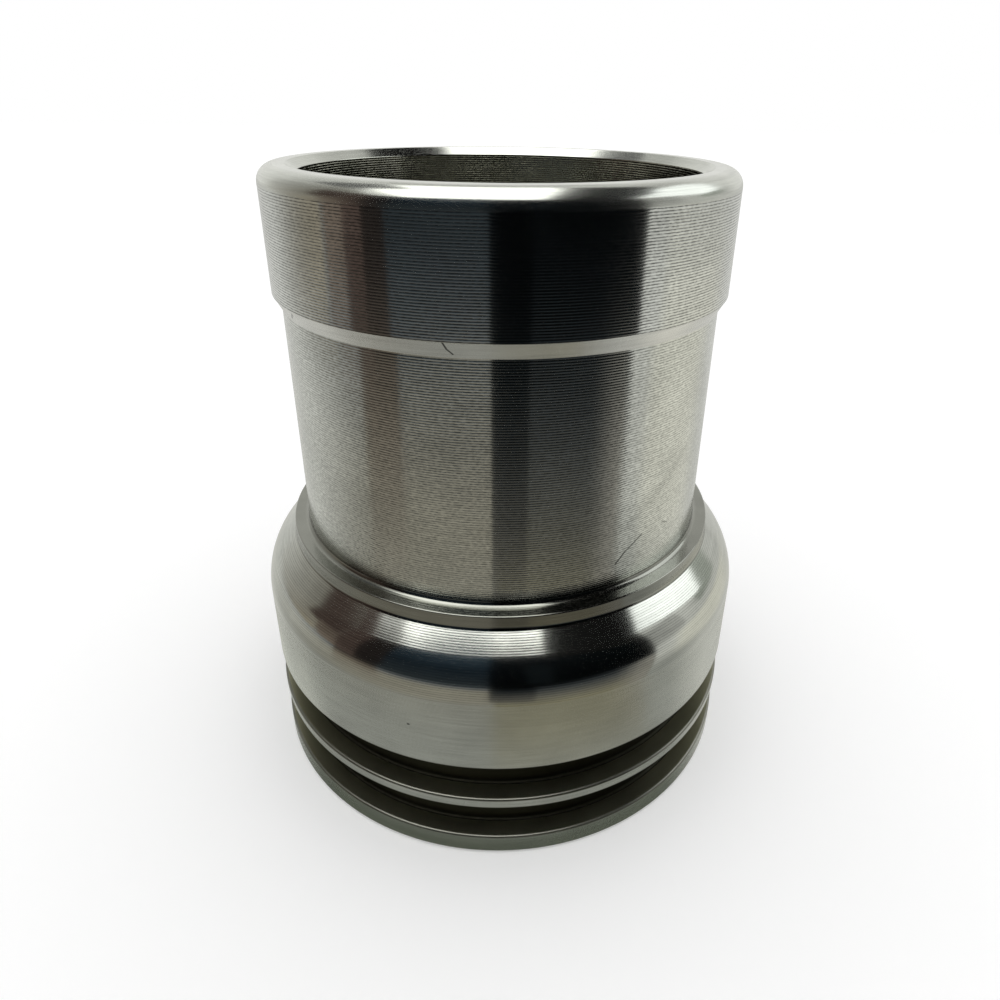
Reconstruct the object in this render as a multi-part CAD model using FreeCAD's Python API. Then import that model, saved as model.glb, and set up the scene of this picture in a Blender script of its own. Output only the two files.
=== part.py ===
import FreeCAD, Part
import os
from math import cos, radians, sin, tan

# Injector sleeve: one piece, turned from bar and bored through.
# Millimetres. +Z is the turning axis and points out of the mouth.
# The origin is the centre of the foot face.

# Walls, each measured outwards from the bore
boreDiameter = 34.0
collarWall = 3.0
neckWall = 2.3
stepWall = 3.7
bodyWall = 6.75

# Heights, stacked from the foot up
footFlangeHeight = 2.1
grooveWidth = 3.6
landHeight = 1.1
bodyBandHeight = 7.0
stepHeight = 1.2
neckLength = 22.0
collarLength = 9.95

# Seal grooves
grooveCount = 2
grooveDepth = 1.9
grooveCornerRadius = 0.3
grooveLipRadius = 0.2

# Shoulder: a large radius off the body, then a cone up to the step
shoulderRadius = 5.3
shoulderAngle = 45.0
stepRootRadius = 0.4
stepEdgeRadius = 0.1

# Neck: fillet at its foot, short taper up to the collar
neckFilletRadius = 0.5
collarTaperHeight = 1.22
collarEdgeBreak = 0.05

# Mouth and foot edges
rimRadius = 1.35
mouthChamferWidth = 0.75
mouthChamferDepth = 0.7
footChamfer = 0.3
boreExitChamfer = 0.5

# Radii and heights that follow
boreRadius = boreDiameter / 2
collarRadius = boreRadius + collarWall
neckRadius = boreRadius + neckWall
stepRadius = boreRadius + stepWall
bodyRadius = boreRadius + bodyWall
shoulderTurn = radians(shoulderAngle)
groovePitch = grooveWidth + landHeight
bodyBandFoot = footFlangeHeight + grooveCount * groovePitch - landHeight
shoulderStart = bodyBandFoot + bodyBandHeight

# The shoulder's radius stops short of the step, however thin the body is
shoulderRoom = bodyRadius - stepRadius - stepRootRadius
shoulderArc = min(shoulderRadius, shoulderRoom / (1 - cos(shoulderTurn)))
coneFootRadius = bodyRadius - shoulderArc * (1 - cos(shoulderTurn))
coneFootHeight = shoulderStart + shoulderArc * sin(shoulderTurn)
stepFoot = coneFootHeight + (coneFootRadius - stepRadius) / tan(shoulderTurn)

stepTop = stepFoot + stepHeight
collarFoot = stepTop + neckLength
mouthHeight = collarFoot + collarLength


class Outline:
    """Half section drawn in order. A straight run joins each arc to what came before."""

    def __init__(self):
        self.edges = []
        self.start = None
        self.pen = None

    def lineTo(self, r, z):
        place = FreeCAD.Vector(r, 0, z)
        if self.pen is None:
            self.start = place
        elif not place.isEqual(self.pen, 1e-6):
            self.edges.append(Part.LineSegment(self.pen, place).toShape())
        self.pen = place

    def arc(self, r, z, radius, fromAngle, toAngle):
        """Turn about the centre (r, z). Angles in degrees, 0 outwards and 90 up."""
        places = []
        for angle in (fromAngle, (fromAngle + toAngle) / 2, toAngle):
            a = radians(angle)
            places.append(FreeCAD.Vector(r + radius * cos(a), 0, z + radius * sin(a)))
        self.lineTo(places[0].x, places[0].z)
        self.edges.append(Part.Arc(*places).toShape())
        self.pen = places[2]

    def turned(self):
        """Close the section and sweep it round the axis."""
        self.lineTo(self.start.x, self.start.z)
        face = Part.Face(Part.Wire(self.edges))
        return face.revolve(FreeCAD.Vector(0, 0, 0), FreeCAD.Vector(0, 0, 1), 360)


def drawFoot(outline):
    """Annular foot face with both edges broken."""
    outline.lineTo(boreRadius, boreExitChamfer)
    outline.lineTo(boreRadius + boreExitChamfer, 0)
    outline.lineTo(bodyRadius - footChamfer, 0)
    outline.lineTo(bodyRadius, footChamfer)


def drawSealGroove(outline, foot):
    """Square groove for a round seal, with rounded floor corners and lips."""
    top = foot + grooveWidth
    lip = grooveLipRadius
    corner = grooveCornerRadius
    floor = bodyRadius - grooveDepth
    outline.arc(bodyRadius - lip, foot - lip, lip, 0, 90)
    outline.arc(floor + corner, foot + corner, corner, 270, 180)
    outline.arc(floor + corner, top - corner, corner, 180, 90)
    outline.arc(bodyRadius - lip, top + lip, lip, 270, 360)


def drawShoulder(outline):
    """Convex shoulder: radius, cone, and the small hollow root under the step."""
    outline.arc(bodyRadius - shoulderArc, shoulderStart, shoulderArc, 0, shoulderAngle)
    rootHeight = stepFoot + stepRootRadius * tan(shoulderTurn / 2)
    outline.arc(stepRadius + stepRootRadius, rootHeight, stepRootRadius, 180 + shoulderAngle, 180)


def drawStep(outline):
    """Low step with a rounded edge, its ledge, and the fillet into the neck."""
    outline.arc(stepRadius - stepEdgeRadius, stepTop - stepEdgeRadius, stepEdgeRadius, 0, 90)
    ledge = stepRadius - stepEdgeRadius - neckRadius
    fillet = min(neckFilletRadius, ledge)
    outline.arc(neckRadius + fillet, stepTop + fillet, fillet, 270, 180)


def drawCollarTaper(outline):
    """Straight taper from the neck out to the collar, whose lower edge is barely broken."""
    outline.lineTo(neckRadius, collarFoot - collarTaperHeight)
    outline.lineTo(collarRadius - collarEdgeBreak, collarFoot)
    outline.lineTo(collarRadius, collarFoot + collarEdgeBreak)


def drawMouth(outline):
    """Rounded rim, flat top, and the lead-in that guides the injector into the bore."""
    outline.arc(collarRadius - rimRadius, mouthHeight - rimRadius, rimRadius, 0, 90)
    outline.lineTo(boreRadius + mouthChamferWidth, mouthHeight)
    outline.lineTo(boreRadius, mouthHeight - mouthChamferDepth)


def injectorSleeve():
    outline = Outline()
    drawFoot(outline)
    for i in range(grooveCount):
        drawSealGroove(outline, footFlangeHeight + i * groovePitch)
    drawShoulder(outline)
    drawStep(outline)
    drawCollarTaper(outline)
    drawMouth(outline)
    return outline.turned()


sleeve = injectorSleeve()
os.makedirs("parts", exist_ok=True)
sleeve.exportStep("parts/injector_sleeve.step")
print("height", round(mouthHeight, 3), "widest", round(2 * bodyRadius, 3))
print(sleeve.ShapeType, "valid", sleeve.isValid(), "volume", round(sleeve.Volume, 1))
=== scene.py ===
from math import acos, atan2, ceil, cos, hypot, pi, radians, sin, tan

import bpy
from mathutils import Matrix, Vector


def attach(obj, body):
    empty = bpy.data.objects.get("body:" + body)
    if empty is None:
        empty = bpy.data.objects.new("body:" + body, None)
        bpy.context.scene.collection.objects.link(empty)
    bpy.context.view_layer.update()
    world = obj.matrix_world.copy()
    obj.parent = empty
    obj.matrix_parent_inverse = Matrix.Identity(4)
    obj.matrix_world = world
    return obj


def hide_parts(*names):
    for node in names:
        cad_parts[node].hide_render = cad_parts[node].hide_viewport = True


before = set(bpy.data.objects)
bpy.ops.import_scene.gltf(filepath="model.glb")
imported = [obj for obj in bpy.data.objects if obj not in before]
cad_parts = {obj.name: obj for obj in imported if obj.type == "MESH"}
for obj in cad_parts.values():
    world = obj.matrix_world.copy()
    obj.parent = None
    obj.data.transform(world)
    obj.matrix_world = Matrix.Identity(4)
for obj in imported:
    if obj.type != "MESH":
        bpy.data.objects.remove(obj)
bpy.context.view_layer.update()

# Injector sleeve, turned from stainless bar, standing on its foot.
# Blender's unit is the metre. Every size below is in millimetres and is turned to metres by mm.
mm = 0.001
scene = bpy.context.scene


def linearColour(hexColour):
    # "#rrggbb" as it looks on screen -> the linear values that a shader takes
    parts = [int(hexColour[i:i + 2], 16) / 255 for i in (1, 3, 5)]
    return [c / 12.92 if c <= 0.04045 else ((c + 0.055) / 1.055) ** 2.4 for c in parts] + [1.0]


def addNode(tree, kind, inputs=None, **settings):
    # inputs maps a socket, by name or number, to a value or to the output that feeds it. Map Range reads from
    # 1 to 2 and gives from 3 to 4, and Mix has its two colours at 6 and 7.
    node = tree.nodes.new(kind)
    for name, value in settings.items():
        setattr(node, name, value)
    for socket, value in (inputs or {}).items():
        if isinstance(value, bpy.types.NodeSocket):
            tree.links.new(value, node.inputs[socket])
        else:
            node.inputs[socket].default_value = value
    return node


# Outline of the sleeve, the same as the solid's. Walls are measured outwards from the bore, and heights are
# stacked from the foot up.
sleeve = {
    "boreDiameter": 34.0,
    "collarWall": 3.0,
    "neckWall": 2.3,
    "stepWall": 3.7,
    "bodyWall": 6.75,
    "footFlangeHeight": 2.1,
    "grooveWidth": 3.6,
    "landHeight": 1.1,
    "bodyBandHeight": 7.0,
    "stepHeight": 1.2,
    "neckLength": 22.0,
    "collarLength": 9.95,
    "grooveCount": 2,
    "grooveDepth": 1.9,
    "grooveCornerRadius": 0.3,
    "grooveLipRadius": 0.2,
    "shoulderRadius": 5.3,
    "shoulderAngle": 45.0,
    "stepRootRadius": 0.4,
    "stepEdgeRadius": 0.1,
    "neckFilletRadius": 0.5,
    "collarTaperHeight": 1.22,
    "collarEdgeBreak": 0.05,
    "rimRadius": 1.35,
    "rimPolishOver": 0.1,  # how far the rim's polish runs down over the collar
    "mouthChamferWidth": 0.75,
    "mouthChamferDepth": 0.7,
    "footChamfer": 0.3,
    "boreExitChamfer": 0.5,
    "facetsRound": 432,
    "facetDepth": 0.002,   # an arc's facets stay this close to the true arc
    "facetsLeast": 3,      # however small the arc is
    "edgeHold": 0.04,      # extra rings beside each edge, so that it shades as a finely broken edge
    "edgeHoldRoom": 4,     # a run has room for them when it is longer than this many edgeHolds
    "pointsApart": 1e-6,   # nearer than this, two points are one
}


class Outline:
    # Points (radius, height) in order, each with the finish of the run that leads to it
    def __init__(self):
        self.points = []
        self.finishes = []

    def add(self, r, z, finish):
        if self.points:
            lastR, lastZ = self.points[-1]
            if hypot(r - lastR, z - lastZ) < sleeve["pointsApart"]:
                return
        self.points.append((r, z))
        self.finishes.append(finish)

    def lineTo(self, r, z, finish):
        # A straight run with a holding ring near each end
        if self.points:
            lastR, lastZ = self.points[-1]
            length = hypot(r - lastR, z - lastZ)
            hold = sleeve["edgeHold"]
            if length > sleeve["edgeHoldRoom"] * hold:
                for share in (hold / length, 1 - hold / length):
                    self.add(lastR + (r - lastR) * share, lastZ + (z - lastZ) * share, finish)
        self.add(r, z, finish)

    def arc(self, r, z, radius, start, end, finish, leadIn):
        # Turn about (r, z). Angles are in degrees, 0 outwards and 90 up. leadIn is the finish of the straight
        # run before the arc.
        facetTurn = 2 * acos(1 - sleeve["facetDepth"] / radius)
        steps = max(sleeve["facetsLeast"], ceil(radians(abs(end - start)) / facetTurn))
        self.lineTo(r + radius * cos(radians(start)), z + radius * sin(radians(start)), leadIn)
        for i in range(1, steps + 1):
            a = radians(start + (end - start) * i / steps)
            self.add(r + radius * cos(a), z + radius * sin(a), finish)


def sleeveOutline():
    s = sleeve
    bore = s["boreDiameter"] / 2
    collar, neck = bore + s["collarWall"], bore + s["neckWall"]
    step, body = bore + s["stepWall"], bore + s["bodyWall"]
    turn = radians(s["shoulderAngle"])
    groovePitch = s["grooveWidth"] + s["landHeight"]
    bandFoot = s["footFlangeHeight"] + s["grooveCount"] * groovePitch - s["landHeight"]
    shoulderStart = bandFoot + s["bodyBandHeight"]
    bulge = s["shoulderRadius"]
    coneFoot = body - bulge * (1 - cos(turn))
    coneFootHeight = shoulderStart + bulge * sin(turn)
    stepFoot = coneFootHeight + (coneFoot - step) / tan(turn)
    stepTop = stepFoot + s["stepHeight"]
    collarFoot = stepTop + s["neckLength"]
    mouth = collarFoot + s["collarLength"]

    line = Outline()
    line.add(bore, s["boreExitChamfer"], "bore")
    line.lineTo(bore + s["boreExitChamfer"], 0, "face")
    line.lineTo(body - s["footChamfer"], 0, "face")
    line.lineTo(body, s["footChamfer"], "face")
    # Seal grooves: square, with rounded lips and floor corners
    lip, corner = s["grooveLipRadius"], s["grooveCornerRadius"]
    floor = body - s["grooveDepth"]
    outside = "foot"
    for i in range(s["grooveCount"]):
        foot = s["footFlangeHeight"] + i * groovePitch
        top = foot + s["grooveWidth"]
        line.arc(body - lip, foot - lip, lip, 0, 90, "lip", outside)
        line.arc(floor + corner, foot + corner, corner, 270, 180, "grooveFloor", "groove")
        line.arc(floor + corner, top - corner, corner, 180, 90, "grooveFloor", "grooveFloor")
        line.arc(body - lip, top + lip, lip, 270, 360, "lip", "groove")
        outside = "land"
    # Shoulder: convex radius, cone, and the hollow root under the step
    line.arc(body - bulge, shoulderStart, bulge, 0, s["shoulderAngle"], "shoulder", "body")
    root = s["stepRootRadius"]
    rootHeight = stepFoot + root * tan(turn / 2)
    line.arc(step + root, rootHeight, root, 180 + s["shoulderAngle"], 180, "step", "shoulder")
    # Step, its ledge and the fillet into the neck
    edge, fillet = s["stepEdgeRadius"], s["neckFilletRadius"]
    line.arc(step - edge, stepTop - edge, edge, 0, 90, "step", "step")
    line.arc(neck + fillet, stepTop + fillet, fillet, 270, 180, "step", "step")
    # Straight taper under the collar
    line.lineTo(neck, collarFoot - s["collarTaperHeight"], "neck")
    line.lineTo(collar - s["collarEdgeBreak"], collarFoot, "taper")
    line.lineTo(collar, collarFoot + s["collarEdgeBreak"], "taper")
    # Collar, rounded rim, flat top and the lead-in to the bore
    rim = s["rimRadius"]
    line.lineTo(collar, mouth - rim - s["rimPolishOver"], "collar")
    line.arc(collar - rim, mouth - rim, rim, 0, 90, "rim", "rim")
    line.lineTo(bore + s["mouthChamferWidth"], mouth, "mouth")
    line.lineTo(bore, mouth - s["mouthChamferDepth"], "mouth")
    line.lineTo(bore, s["boreExitChamfer"] + s["edgeHold"], "bore")
    return line


def turnedPiece(name, line, materials):
    # Sweeps the closed outline round the axis in quads. The map "turning" has turns across and mm of the
    # outline up.
    count, around = len(line.points), sleeve["facetsRound"]
    verts = []
    for i in range(around):
        a = 2 * pi * i / around
        verts += [(r * mm * cos(a), r * mm * sin(a), z * mm) for r, z in line.points]
    travel = [0.0]
    for i in range(count):
        (r0, z0), (r1, z1) = line.points[i], line.points[(i + 1) % count]
        travel.append(travel[-1] + hypot(r1 - r0, z1 - z0))
    faces, corners, slots = [], [], []
    for i in range(around):
        this, after = i * count, (i + 1) % around * count
        for j in range(count):
            k = (j + 1) % count
            faces.append((this + j, after + j, after + k, this + k))
            corners += [i / around, travel[j], (i + 1) / around, travel[j]]
            corners += [(i + 1) / around, travel[j + 1], i / around, travel[j + 1]]
            slots.append(line.finishes[k])
    mesh = bpy.data.meshes.new(name)
    mesh.from_pydata(verts, [], faces)
    mesh.uv_layers.new(name="turning").data.foreach_set("uv", corners)
    order = list(materials)
    for finish in order:
        mesh.materials.append(materials[finish])
    mesh.polygons.foreach_set("material_index", [order.index(finish) for finish in slots])
    mesh.shade_smooth()
    mesh.update()
    piece = bpy.data.objects.new(name, mesh)
    scene.collection.objects.link(piece)
    return piece


# Turned stainless steel. The tool leaves a fine screw thread of shallow hollows, so each turn mirrors a tall
# slice of the room, and the reflections run down the part as upright bands with sharp sides and fine lines
# across. The crest between two hollows is torn: rougher, darker both from torn metal and from painted shade of
# its micro-shadow, and broken into short dashes, which gives lines both in the light and the dark.
# A finishing cut feeds about 0.2 mm a turn. Where the lines are seen one by one, feed is drawn as 0.208 mm,
# which is two to three pixels here. toolRadius is in mm, and a larger one leaves flatter hollows, which mirror
# less of the room. roughness is the hollow's and crest is the crest's. shade is how bright the crest stays
# under its painted shade, torn is the share of a turn that it takes, and paintedGlint is how much painted
# glint the dashes get.
steel = {
    "colour": "#cbcdc6",
    "torn": 0.2,               # for a finish that has none of its own
    "crestBlur": 0.15,         # how far a crest fades to each side, as a share of half a turn
    "dash": 0.32,              # mm, how long a dash of a crest runs round
    "turnsApart": 1.7,         # dashes from one turn's pattern to the next one's, so that they don't line up
    "gap": (0.32, 0.62),       # noise where a gap between dashes ends, and where a whole dash begins
    "gapLeaves": 0.5,          # share of the hollow and the crest that is left in a gap
    "glint": (0.3, 0.7),       # noise of the brightest dash and of the darkest, in the painted glint
    "streak": (5.0, 0.16),     # mm round and mm high, the fine brushing
    "cloud": 5.0,              # mm, handling marks that barely change the tone
    "tone": (0.7, 1.3),        # noise of brushing and clouds together, at their darkest and their brightest
    "level": (0.85, 1.10),     # brightness of the metal there
    "finishes": {
        "collar": {"feed": 0.208, "toolRadius": 0.72, "roughness": 0.09, "crest": 0.20, "shade": 0.30,
                   "torn": 0.38, "paintedGlint": 0.12, "colour": "#d4d6d1"},
        "neck": {"feed": 0.208, "toolRadius": 0.60, "roughness": 0.09, "crest": 0.30, "shade": 0.42,
                 "torn": 0.26, "paintedGlint": 0.18, "colour": "#ced0ca"},
        "shoulder": {"feed": 0.208, "toolRadius": 4.0, "roughness": 0.12, "crest": 0.17, "shade": 0.45,
                     "torn": 0.15},
        "rim": {"feed": 0.208, "toolRadius": 6.0, "roughness": 0.20, "crest": 0.24, "shade": 0.95},
        "mouth": {"feed": 0.15, "toolRadius": 3.0, "roughness": 0.15, "crest": 0.22, "shade": 0.80},
        # The bore's colour is darker than the steel's: painted shade inside the bore
        "bore": {"feed": 0.208, "toolRadius": 0.50, "roughness": 0.12, "crest": 0.22, "shade": 0.60,
                 "colour": "#b4b4a8"},
        # The taper's colour is lighter than the steel's: a painted sheen, for the brighter reflection it shows
        "taper": {"feed": 0.1, "toolRadius": 3.0, "roughness": 0.27, "crest": 0.30, "shade": 0.92,
                  "colour": "#d8d8d4"},
        # The step's colour is darker than the steel's: painted shade, so that its wall mirrors darker under
        # the ledge
        "step": {"feed": 0.1, "toolRadius": 4.0, "roughness": 0.14, "crest": 0.18, "shade": 0.90,
                 "colour": "#969790"},
        "body": {"feed": 0.12, "toolRadius": 1.0, "roughness": 0.27, "crest": 0.33, "shade": 0.92},
        "land": {"feed": 0.12, "toolRadius": 1.0, "roughness": 0.27, "crest": 0.33, "shade": 0.92},
        # The lip's colour is darker than the steel's: painted shade at the groove's edge, which dims its glint
        "lip": {"feed": 0.1, "toolRadius": 4.0, "roughness": 0.34, "crest": 0.38, "shade": 0.90,
                "colour": "#84847c"},
        "foot": {"feed": 0.12, "toolRadius": 1.0, "roughness": 0.26, "crest": 0.33, "shade": 0.92},
        # Painted shade in the grooves: groove and grooveFloor are darkened, the groove floor nearly black
        "groove": {"feed": 0.12, "toolRadius": 1.4, "roughness": 0.36, "crest": 0.42, "shade": 0.80,
                   "colour": "#9c9b86"},
        "grooveFloor": {"feed": 0.12, "toolRadius": 1.0, "roughness": 0.50, "crest": 0.55, "shade": 0.80,
                        "colour": "#34332b"},
        "face": {"feed": 0.208, "toolRadius": 1.0, "roughness": 0.25, "crest": 0.40, "shade": 0.60},
    },
}

# Marks left by handling: a finish, its radius in mm, then from and to as (degrees from the camera's side
# towards the right, mm above the foot), width in mm and how dark, 1 as black
cameraSide = 0.75          # turns from +X round to the camera's side
wear = [
    {"on": "taper", "radius": 19.6, "from": (-11.6, 45.9), "to": (-11.0, 45.35), "width": 0.09, "dark": 0.85},
    {"on": "taper", "radius": 19.6, "from": (-11.0, 45.35), "to": (-9.9, 44.95), "width": 0.08, "dark": 0.85},
    {"on": "taper", "radius": 19.6, "from": (-56.0, 45.1), "to": (-53.6, 45.6), "width": 0.12, "dark": 0.6},
    {"on": "neck", "radius": 19.3, "from": (28.8, 26.2), "to": (31.5, 27.1), "width": 0.10, "dark": 0.75},
    {"on": "neck", "radius": 19.3, "from": (31.5, 27.1), "to": (36.8, 28.2), "width": 0.09, "dark": 0.65},
    {"on": "neck", "radius": 19.3, "from": (44.8, 28.3), "to": (47.2, 28.0), "width": 0.08, "dark": 0.5},
    {"on": "neck", "radius": 19.3, "from": (32.0, 29.7), "to": (53.0, 34.3), "width": 0.5, "dark": 0.10},
    {"on": "body", "radius": 23.75, "from": (-19.1, 14.4), "to": (-18.8, 14.4), "width": 0.10, "dark": 0.85},
]


def toolMarks(tree, finish, turned, solid):
    # Gives how torn the metal is, the way that it faces, and the noise of its dashes.
    # Screw thread: turns round plus length along the outline over the feed, one hollow per whole number.
    # fromMiddle runs from -1 to 1 across each hollow.
    along = addNode(tree, "ShaderNodeMath", {0: turned.outputs["Y"], 1: finish["feed"]}, operation="DIVIDE")
    turns = addNode(tree, "ShaderNodeMath", {0: along.outputs[0], 1: turned.outputs["X"]}, operation="ADD")
    inHollow = addNode(tree, "ShaderNodeMath", {0: turns.outputs[0]}, operation="FRACT")
    fromMiddle = addNode(tree, "ShaderNodeMath", {0: inHollow.outputs[0], 1: 2.0, 2: -1.0},
                         operation="MULTIPLY_ADD")
    offMiddle = addNode(tree, "ShaderNodeMath", {0: fromMiddle.outputs[0]}, operation="ABSOLUTE")
    # The tool chatters a little, so hollows and crests are broken into dashes, each turn for itself
    perDash = 1 / (steel["dash"] * mm)
    dashPlace = addNode(tree, "ShaderNodeVectorMath", {0: solid.outputs["Object"], 1: (perDash, perDash, 0)},
                        operation="MULTIPLY")
    apart = addNode(tree, "ShaderNodeMath", {0: along.outputs[0], 1: steel["turnsApart"]},
                    operation="MULTIPLY")
    turnPlace = addNode(tree, "ShaderNodeCombineXYZ", {"Z": apart.outputs[0]})
    dashAt = addNode(tree, "ShaderNodeVectorMath", {0: dashPlace.outputs[0], 1: turnPlace.outputs[0]},
                     operation="ADD")
    dashes = addNode(tree, "ShaderNodeTexNoise", {"Vector": dashAt.outputs[0], "Scale": 1.0, "Detail": 1.0})
    gapEnd, dashStart = steel["gap"]
    broken = addNode(tree, "ShaderNodeMapRange", {
        0: dashes.outputs[0], 1: gapEnd, 2: dashStart, 3: steel["gapLeaves"], 4: 1.0})
    hollow, blur = 1 - finish.get("torn", steel["torn"]), steel["crestBlur"]
    crest = addNode(tree, "ShaderNodeMapRange", {0: offMiddle.outputs[0], 1: hollow - blur, 2: hollow + blur})
    torn = addNode(tree, "ShaderNodeMath", {0: crest.outputs[0], 1: broken.outputs[0]}, operation="MULTIPLY")
    # A round nose cuts a round hollow, whose sides lean by half a feed over the nose's radius
    slope = finish["feed"] / (2 * finish["toolRadius"])
    lean = addNode(tree, "ShaderNodeMath", {0: fromMiddle.outputs[0], 1: broken.outputs[0]},
                   operation="MULTIPLY")
    leaning = addNode(tree, "ShaderNodeMath", {0: lean.outputs[0], 1: slope}, operation="MULTIPLY")
    upward = addNode(tree, "ShaderNodeCombineXYZ", {"Z": leaning.outputs[0]})
    wall = addNode(tree, "ShaderNodeNewGeometry")
    tilted = addNode(tree, "ShaderNodeVectorMath", {0: wall.outputs["Normal"], 1: upward.outputs[0]},
                     operation="ADD")
    facing = addNode(tree, "ShaderNodeVectorMath", {0: tilted.outputs[0]}, operation="NORMALIZE")
    return torn.outputs[0], facing.outputs[0], dashes.outputs[0]


def handledTone(tree, solid):
    # Brushing round the part, and faint clouds from handling
    wide, high = steel["streak"]
    perWide, perHigh = 1 / (wide * mm), 1 / (high * mm)
    streakAt = addNode(tree, "ShaderNodeVectorMath", {
        0: solid.outputs["Object"], 1: (perWide, perWide, perHigh)}, operation="MULTIPLY")
    streaks = addNode(tree, "ShaderNodeTexNoise", {
        "Vector": streakAt.outputs[0], "Scale": 1.0, "Detail": 2.0})
    clouds = addNode(tree, "ShaderNodeTexNoise", {
        "Vector": solid.outputs["Object"], "Scale": 1 / (steel["cloud"] * mm), "Detail": 3.0})
    tone = addNode(tree, "ShaderNodeMath", {0: streaks.outputs[0], 1: clouds.outputs[0]}, operation="ADD")
    (darkest, brightest), (dim, full) = steel["tone"], steel["level"]
    level = addNode(tree, "ShaderNodeMapRange", {
        0: tone.outputs[0], 1: darkest, 2: brightest, 3: dim, 4: full})
    return level.outputs[0]


def wornAway(tree, marks, turned, solid):
    # 0 on clean metal, up to each mark's darkness along its line
    spot = addNode(tree, "ShaderNodeSeparateXYZ", {0: solid.outputs["Object"]})
    height = addNode(tree, "ShaderNodeMath", {0: spot.outputs["Z"], 1: 1 / mm}, operation="MULTIPLY")
    fromSide = addNode(tree, "ShaderNodeMath", {0: turned.outputs["X"], 1: cameraSide}, operation="SUBTRACT")
    worn = 0.0
    for mark in marks:
        girth = 2 * pi * mark["radius"]
        ends = [(degrees / 360 * girth, z, 0.0) for degrees, z in (mark["from"], mark["to"])]
        run = [b - a for a, b in zip(*ends)]
        length = hypot(*run)
        arc = addNode(tree, "ShaderNodeMath", {0: fromSide.outputs[0], 1: girth}, operation="MULTIPLY")
        here = addNode(tree, "ShaderNodeCombineXYZ", {"X": arc.outputs[0], "Y": height.outputs[0]})
        fromStart = addNode(tree, "ShaderNodeVectorMath", {0: here.outputs[0], 1: ends[0]},
                            operation="SUBTRACT")
        along = addNode(tree, "ShaderNodeVectorMath", {
            0: fromStart.outputs[0], 1: [c / length ** 2 for c in run]}, operation="DOT_PRODUCT")
        share = addNode(tree, "ShaderNodeClamp", {0: along.outputs["Value"]})
        nearest = addNode(tree, "ShaderNodeVectorMath", {0: run, "Scale": share.outputs[0]},
                          operation="SCALE")
        across = addNode(tree, "ShaderNodeVectorMath", {
            0: fromStart.outputs[0], 1: nearest.outputs[0]}, operation="DISTANCE")
        line = addNode(tree, "ShaderNodeMapRange", {
            0: across.outputs["Value"], 1: mark["width"] / 2, 2: mark["width"], 3: mark["dark"], 4: 0.0})
        worn = addNode(tree, "ShaderNodeMath", {0: worn, 1: line.outputs[0]}, operation="MAXIMUM").outputs[0]
    return worn


def turnedSteel(name, finish):
    material = bpy.data.materials.new("turnedSteel" + name[0].upper() + name[1:])
    material.use_nodes = True
    tree = material.node_tree
    tree.nodes.clear()
    turning = addNode(tree, "ShaderNodeUVMap", uv_map="turning")
    turned = addNode(tree, "ShaderNodeSeparateXYZ", {0: turning.outputs[0]})
    solid = addNode(tree, "ShaderNodeTexCoord")
    torn, facing, dashes = toolMarks(tree, finish, turned, solid)
    # Crests darkened in colour: torn metal, and painted shade of their micro-shadow
    shade = addNode(tree, "ShaderNodeMapRange", {0: torn, 3: 1.0, 4: finish["shade"]})
    dimmers = [shade]
    if "paintedGlint" in finish:
        # Painted glint: the dashes of each turn are brightened or darkened in colour, each turn its own
        (low, high), paintedGlint = steel["glint"], finish["paintedGlint"]
        dimmers.append(addNode(tree, "ShaderNodeMapRange", {
            0: dashes, 1: low, 2: high, 3: 1 + paintedGlint, 4: 1 - paintedGlint}))
    marks = [mark for mark in wear if mark["on"] == name]
    if marks:
        dimmers.append(addNode(tree, "ShaderNodeMath", {
            0: 1.0, 1: wornAway(tree, marks, turned, solid)}, operation="SUBTRACT"))
    bright = handledTone(tree, solid)
    for dimmer in dimmers:
        bright = addNode(tree, "ShaderNodeMath", {0: bright, 1: dimmer.outputs[0]},
                         operation="MULTIPLY").outputs[0]
    metal = linearColour(finish.get("colour", steel["colour"]))
    colour = addNode(tree, "ShaderNodeMix", {"Factor": bright, 6: (0, 0, 0, 1), 7: metal}, data_type="RGBA",
                     clamp_factor=False)
    rough = addNode(tree, "ShaderNodeMapRange", {0: torn, 3: finish["roughness"], 4: finish["crest"]})
    shader = addNode(tree, "ShaderNodeBsdfPrincipled", {
        "Base Color": colour.outputs["Result"],
        "Metallic": 1.0,
        "Roughness": rough.outputs[0],
        "Normal": facing,
    })
    addNode(tree, "ShaderNodeOutputMaterial", {"Surface": shader.outputs[0]})
    return material


materials = {name: turnedSteel(name, finish) for name, finish in steel["finishes"].items()}
piece = turnedPiece("sleeve", sleeveOutline(), materials)
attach(piece, "root")
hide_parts("injector_sleeve")
print("sleeve turned:", len(piece.data.polygons), "faces")


# White studio: a floor and a plain white surround, which light everything evenly
studio = {
    "floorSize": 3000,
    "floorColour": "#ffffff",
    "surround": 1.0,
    "cameraLift": 0.07,     # lifts the floor to white in the picture only, and lights nothing
}


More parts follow.
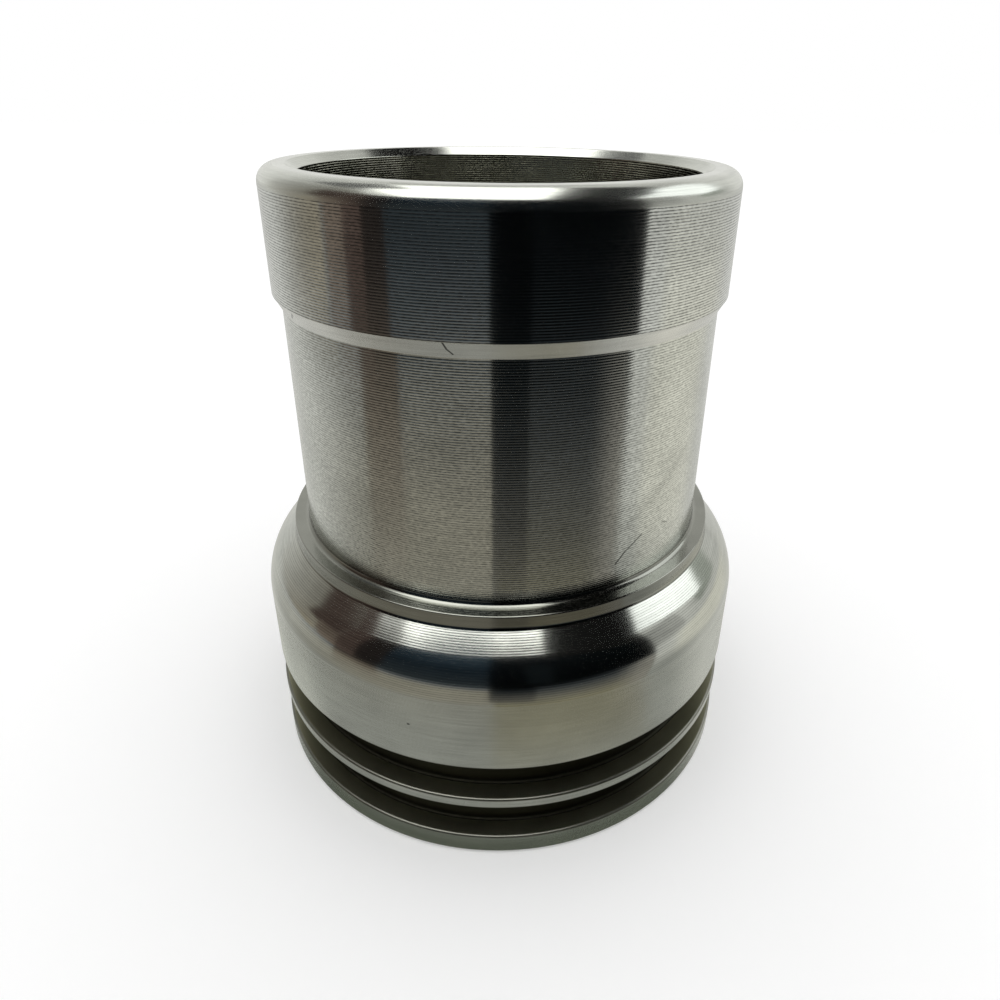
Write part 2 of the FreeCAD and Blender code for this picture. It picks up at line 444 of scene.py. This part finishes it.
def buildStudio():
    half = studio["floorSize"] / 2 * mm
    corners = [(-half, -half, 0), (half, -half, 0), (half, half, 0), (-half, half, 0)]
    mesh = bpy.data.meshes.new("floor")
    mesh.from_pydata(corners, [], [(0, 1, 2, 3)])
    floor = bpy.data.objects.new("floor", mesh)
    scene.collection.objects.link(floor)
    # Matt white paper with no shine, so that only the part's own soft shade is seen on it
    material = bpy.data.materials.new("paperFloor")
    material.use_nodes = True
    shader = material.node_tree.nodes["Principled BSDF"]
    shader.inputs["Base Color"].default_value = linearColour(studio["floorColour"])
    shader.inputs["Roughness"].default_value = 1.0
    shader.inputs["Specular IOR Level"].default_value = 0.0
    shader.inputs["Emission Color"].default_value = (1, 1, 1, 1)
    tree = material.node_tree
    path = addNode(tree, "ShaderNodeLightPath")
    lift = addNode(tree, "ShaderNodeMath", {0: path.outputs["Is Camera Ray"], 1: studio["cameraLift"]},
                   operation="MULTIPLY")
    tree.links.new(lift.outputs[0], shader.inputs["Emission Strength"])
    mesh.materials.append(material)
    world = bpy.data.worlds.new("surround")
    scene.world = world
    world.use_nodes = True
    world.node_tree.nodes["Background"].inputs["Color"].default_value = (1, 1, 1, 1)
    world.node_tree.nodes["Background"].inputs["Strength"].default_value = studio["surround"]


# Camera as close as the photograph's: a phone's wide lens, looking down at the mouth
view = {
    "place": (0.0, -66.96, 60.81),
    "lens": 26.41,
    "down": 26.11,      # degrees below the horizon
    "right": 1.94,      # degrees to the right of straight on
    "roll": 0.825,
    "shift": (-0.0245, -0.0455),
    "sensor": 36,       # width, as on a full-frame camera
    "nearest": 5,       # nothing closer than this is drawn
}

# Cards that only the metal mirrors, as a photographer stands them round a bright part. shows is where a
# card's left and right sides are seen on the collar, in degrees round from the camera's side towards the
# right, and around is where it stands. up is degrees above the horizon, out is mm from the axis for a card on
# the floor, and a card overhead has corners instead, as shares of its height. soft is how far each side
# fades: left, right, near or low, far or high. stops runs outwards or upwards, each as its place, its glow
# with 1 as white, and its tint.
cards = [
    {"name": "roomWall", "around": (-180, 180), "up": (-4, 90), "distance": 2000,
     "stops": [(0, 0.68, "#fffffb")]},
    {"name": "backWall", "around": (125, 235), "up": (-4, 40), "distance": 1980,
     "stops": [(0, 0.85, "#fffffb")], "soft": (10, 10, 0, 16)},
    {"name": "leftCorner", "shows": (-64, -28.5), "up": (-4, 78), "distance": 1960,
     "stops": [(-4, 0.30, "#fff4e0"), (30, 0.20, "#fff9ea"), (78, 0.40, "#fffffb")], "soft": (28, 0, 0, 30)},
    {"name": "brownHigh", "shows": (-41.5, -31.6), "up": (6, 40), "distance": 1940,
     "stops": [(6, 0.07, "#ffdbcd")], "soft": (2, 0.3, 4, 12)},
    {"name": "brownLight", "shows": (-37.2, -31.6), "up": (-4, 14), "distance": 1920,
     "stops": [(0, 0.15, "#ffe6d3")], "soft": (0.3, 0, 0, 6)},
    {"name": "brownDark", "shows": (-31.6, -27.1), "up": (-4, 60), "distance": 1920,
     "stops": [(0, 0.075, "#ffdbcd")]},
    {"name": "darkWall", "shows": (-27.1, -21.4), "up": (-4, 60), "distance": 1920,
     "stops": [(0, 0.018, "#ffebe5")]},
    {"name": "blueWall", "shows": (-21.4, -2.4), "up": (-4, 60), "distance": 1920,
     "stops": [(-4, 0.036, "#d4eeff"), (20, 0.026, "#b4deff"), (46, 0.07, "#b4deff")]},
    {"name": "blackWall", "shows": (-2.4, 28.4), "up": (-4, 60), "distance": 1920,
     "stops": [(-4, 0.002, "#d0f0ff"), (50, 0.006, "#d0f0ff")]},
    {"name": "faintWall", "shows": (4.2, 8.7), "up": (-4, 30), "distance": 1900,
     "stops": [(0, 0.010, "#d0f0ff")]},
    {"name": "greyWall", "shows": (28.4, 37), "up": (-4, 24), "distance": 1900,
     "stops": [(0, 0.44, "#fffffb")]},
    {"name": "greenWall", "shows": (42.5, 54), "up": (3, 20), "distance": 1900,
     "stops": [(3, 0.42, "#f8fff4")], "soft": (0.3, 3, 4, 6)},
    {"name": "topLight", "height": 400, "stops": [(0, 2.6, "#fffffc")],
     "corners": [(-0.95, -0.73), (-0.80, -0.80), (0.00, -0.92), (0.36, -0.90), (0.17, 0.60), (-0.38, 0.60),
                 (-0.38, 0.10), (-0.66, 0.07)]},
    {"name": "topLightEnd", "height": 402, "stops": [(0, 0.9, "#fffffc")],
     "corners": [(-1.26, -0.58), (-0.90, -0.75), (-0.60, 0.07), (-0.76, 0.03), (-1.05, -0.24)]},
    {"name": "duskAbove", "height": 406, "stops": [(0, 0.16, "#ffffff")],
     "corners": [(-0.36, 0.08), (-0.36, 0.70), (-1.00, 0.70), (-0.90, 0.06)]},
    {"name": "darkAbove", "height": 408, "stops": [(0, 0.008, "#ffffff")],
     "corners": [(0.10, -0.84), (0.48, -1.20), (2.80, -1.20), (1.45, -0.60), (1.05, 0.00), (0.78, 0.28),
                 (0.60, 0.60), (0.10, 0.60)]},
    {"name": "rightLight", "height": 404, "stops": [(0, 1.8, "#fcffff")],
     "corners": [(1.49, -0.63), (3.77, 0.87), (3.20, 1.60), (0.80, 0.90), (0.80, 0.27), (1.07, -0.03)]},
    {"name": "paleFloor", "around": (-180, 180), "out": (23.8, 2000),
     "stops": [(23.8, 0.60, "#fffff8"), (30, 0.66, "#fffff8"), (140, 0.72, "#fffffb"),
               (420, 0.66, "#fffffb")]},
    {"name": "rightFloor", "shows": (32, 62), "out": (44, 500), "stops": [(44, 0.84, "#fffdf2")],
     "soft": (4, 12, 16, 330)},
    {"name": "nearFloor", "shows": (-62, 48), "out": (23.8, 76), "stops": [(23.8, 0.37, "#fbfdf6")],
     "soft": (26, 17, 0, 34)},
    {"name": "leftNearFloor", "shows": (-63, -36), "out": (27, 35), "stops": [(27, 0.70, "#fbfdf4")],
     "soft": (0, 9, 2, 2)},
    {"name": "frontFloor", "shows": (-59, 28.5), "out": (36, 2000), "soft": (34, 0.3, 12, 0),
     "stops": [(36, 0.33, "#fff9e8"), (58, 0.32, "#fff8e6"), (85, 0.31, "#fff8e4"), (106, 0.28, "#fff9ec"),
               (141, 0.16, "#f0f8ff"), (215, 0.055, "#dcf0ff"), (420, 0.036, "#d4eeff")]},
    {"name": "duskFloor", "shows": (-33, -22.2), "out": (50, 2000), "soft": (0.3, 0.3, 10, 0),
     "stops": [(50, 0.31, "#fff8e6"), (70, 0.29, "#fff4e2"), (85, 0.26, "#fff2de"), (106, 0.18, "#ffecd6"),
               (141, 0.09, "#ffe8d8"), (215, 0.030, "#ffebe0"), (420, 0.018, "#ffebe5")]},
    {"name": "leftFarFloor", "shows": (-57.5, -37.2), "out": (150, 2000), "stops": [(150, 0.34, "#fff2da")],
     "soft": (20, 0.3, 70, 0)},
    {"name": "brownFloor", "shows": (-37.2, -31.6), "out": (150, 2000), "stops": [(150, 0.20, "#ffe6d3")],
     "soft": (0.3, 0, 70, 0)},
    {"name": "rustFloor", "shows": (-31.6, -27.1), "out": (150, 2000), "stops": [(150, 0.09, "#ffdbcd")],
     "soft": (0, 0, 70, 0)},
    # shadeFloor and darkFloor are painted shadow on the mirrored floor: the shade in front of the part,
    # darkest in darkFloor's strip
    {"name": "shadeFloor", "shows": (-2.3, 28.6), "out": (30, 2000), "soft": (0.3, 0.3, 10, 0),
     "stops": [(30, 0.36, "#fff6d0"), (38, 0.31, "#fff6d0"), (58, 0.16, "#fff9ea"), (70, 0.12, "#fffff4"),
               (85, 0.080, "#f8fcff"), (106, 0.050, "#ecf6ff"), (141, 0.026, "#dcf0ff"),
               (200, 0.003, "#d0f0ff")]},
    {"name": "darkFloor", "shows": (-2.3, 5.8), "out": (44, 2000), "soft": (0, 0.3, 10, 0),
     "stops": [(44, 0.16, "#fff9ea"), (58, 0.10, "#fff9ee"), (70, 0.065, "#fcfcf6"), (85, 0.034, "#f0f8ff"),
               (106, 0.020, "#dcf0ff"), (141, 0.006, "#d0f0ff"), (200, 0.002, "#d0f0ff")]},
    {"name": "edgeFloor", "shows": (19, 28.4), "out": (34, 170), "stops": [(34, 0.31, "#fff9ee")],
     "soft": (9, 0.3, 8, 80)},
    {"name": "contactShade", "shows": (-58, 54), "out": (23.8, 28), "stops": [(23.8, 0.14, "#f4ffe8")],
     "soft": (26, 26, 0, 4)},
]
cardCentre = 30.0          # mm, the height that the cards are measured from
cardFacets = 2             # degrees per facet
floorLift = 0.01           # mm from one floor card up to the next


def cardPoint(card, share, reach):
    # Where a card's side stands at this distance from the axis. A side given by where it shows lies along the
    # line that the camera's ray takes after it meets the collar there.
    left, right = card.get("shows") or card["around"]
    turn = radians(left + (right - left) * share)
    if "around" in card:
        return reach * sin(turn), -reach * cos(turn)
    collar, cameraOut = sleeve["boreDiameter"] / 2 + sleeve["collarWall"], -view["place"][1]
    heading = 2 * turn + atan2(collar * sin(turn), cameraOut - collar * cos(turn))
    ahead = collar * cos(heading - turn)
    travel = (ahead ** 2 - collar ** 2 + reach ** 2) ** 0.5 - ahead
    return collar * sin(turn) + travel * sin(heading), -collar * cos(turn) - travel * cos(heading)


def cardMesh(card):
    mesh = bpy.data.meshes.new(card["name"])
    if "corners" in card:
        reach, z = card["height"] * mm, (cardCentre + card["height"]) * mm
        verts = [(x * reach, y * reach, z) for x, y in card["corners"]]
        mesh.from_pydata(verts, [], [range(len(verts))])
        mesh.uv_layers.new(name="card")
        return mesh
    left, right = card.get("shows") or card["around"]
    columns = ceil((right - left) / cardFacets)
    if "up" in card:
        low, high = card["up"]
        rows = ceil((high - low) / cardFacets)
        reach = card["distance"]
        rings = []
        for j in range(rows + 1):
            up = radians(low + (high - low) * j / rows)
            rings.append((reach * cos(up), cardCentre + reach * sin(up)))
    else:
        rows = 1
        rings = [(r, floorLift * card["layer"]) for r in card["out"]]
    verts, faces, corners = [], [], []
    for r, z in rings:
        for i in range(columns + 1):
            x, y = cardPoint(card, i / columns, r)
            verts.append((x * mm, y * mm, z * mm))
    for j in range(rows):
        for i in range(columns):
            k = j * (columns + 1) + i
            faces.append((k, k + 1, k + columns + 2, k + columns + 1))
            for u, v in ((i, j), (i + 1, j), (i + 1, j + 1), (i, j + 1)):
                corners += [u / columns, v / rows]
    mesh.from_pydata(verts, [], faces)
    mesh.uv_layers.new(name="card").data.foreach_set("uv", corners)
    return mesh


def cardFade(tree, card, axes, depth):
    # 1 in the middle of the card, falling to 0 at each soft side
    left, right = card.get("shows") or card["around"]
    fade = 1.0
    for side, soft in enumerate(card["soft"]):
        if soft == 0:
            continue
        axis, size = (axes.outputs["X"], right - left) if side < 2 else (axes.outputs["Y"], depth)
        share = soft / size
        ends = (0.0, share) if side % 2 == 0 else (1.0, 1.0 - share)
        edge = addNode(tree, "ShaderNodeMapRange", {0: axis, 1: ends[0], 2: ends[1]},
                       interpolation_type="SMOOTHSTEP")
        fade = addNode(tree, "ShaderNodeMath", {0: fade, 1: edge.outputs[0]}, operation="MULTIPLY").outputs[0]
    return fade


def cardMaterial(card):
    material = bpy.data.materials.new(card["name"])
    material.use_nodes = True
    tree = material.node_tree
    tree.nodes.clear()
    place = addNode(tree, "ShaderNodeUVMap", uv_map="card")
    axes = addNode(tree, "ShaderNodeSeparateXYZ", {0: place.outputs[0]})
    start, end = card.get("up") or card.get("out") or (0, 1)
    strongest = max(glow for _, glow, _ in card["stops"])
    ramp = addNode(tree, "ShaderNodeValToRGB", {0: axes.outputs["Y"]})
    elements = ramp.color_ramp.elements
    elements.remove(elements[1])
    for i, (at, glow, tint) in enumerate(card["stops"]):
        share = (at - start) / (end - start)
        element = elements[0] if i == 0 else elements.new(share)
        element.position = share
        element.color = [c * glow / strongest for c in linearColour(tint)[:3]] + [1.0]
    light = addNode(tree, "ShaderNodeEmission", {"Color": ramp.outputs[0], "Strength": strongest})
    surface = light.outputs[0]
    if "soft" in card:
        fade = cardFade(tree, card, axes, end - start)
        clear = addNode(tree, "ShaderNodeBsdfTransparent")
        surface = addNode(tree, "ShaderNodeMixShader", {0: fade, 1: clear.outputs[0], 2: surface}).outputs[0]
    addNode(tree, "ShaderNodeOutputMaterial", {"Surface": surface})
    material.cycles.emission_sampling = "NONE"
    return material


def standCards():
    layer = 0
    for card in cards:
        if "out" in card:
            layer += 1
            card["layer"] = layer
        mesh = cardMesh(card)
        mesh.materials.append(cardMaterial(card))
        stood = bpy.data.objects.new(card["name"], mesh)
        scene.collection.objects.link(stood)
        stood.visible_camera = False
        stood.visible_diffuse = False
        stood.visible_shadow = False
        stood.visible_transmission = False
        stood.visible_volume_scatter = False


buildStudio()
standCards()
print("studio and", len(cards), "cards stand")


def placeCamera():
    data = bpy.data.cameras.new("camera")
    camera = bpy.data.objects.new("camera", data)
    scene.collection.objects.link(camera)
    aim = Matrix.Rotation(-radians(view["right"]), 4, "Z")
    tilt = Matrix.Rotation(radians(90 - view["down"]), 4, "X")
    roll = Matrix.Rotation(radians(view["roll"]), 4, "Z")
    camera.matrix_world = Matrix.Translation(Vector(view["place"]) * mm) @ aim @ tilt @ roll
    data.sensor_width = view["sensor"]
    data.lens = view["lens"]
    data.shift_x, data.shift_y = view["shift"]
    data.clip_start = view["nearest"] * mm
    scene.camera = camera
    scene.view_settings.view_transform = "Standard"


placeCamera()
print("camera placed")
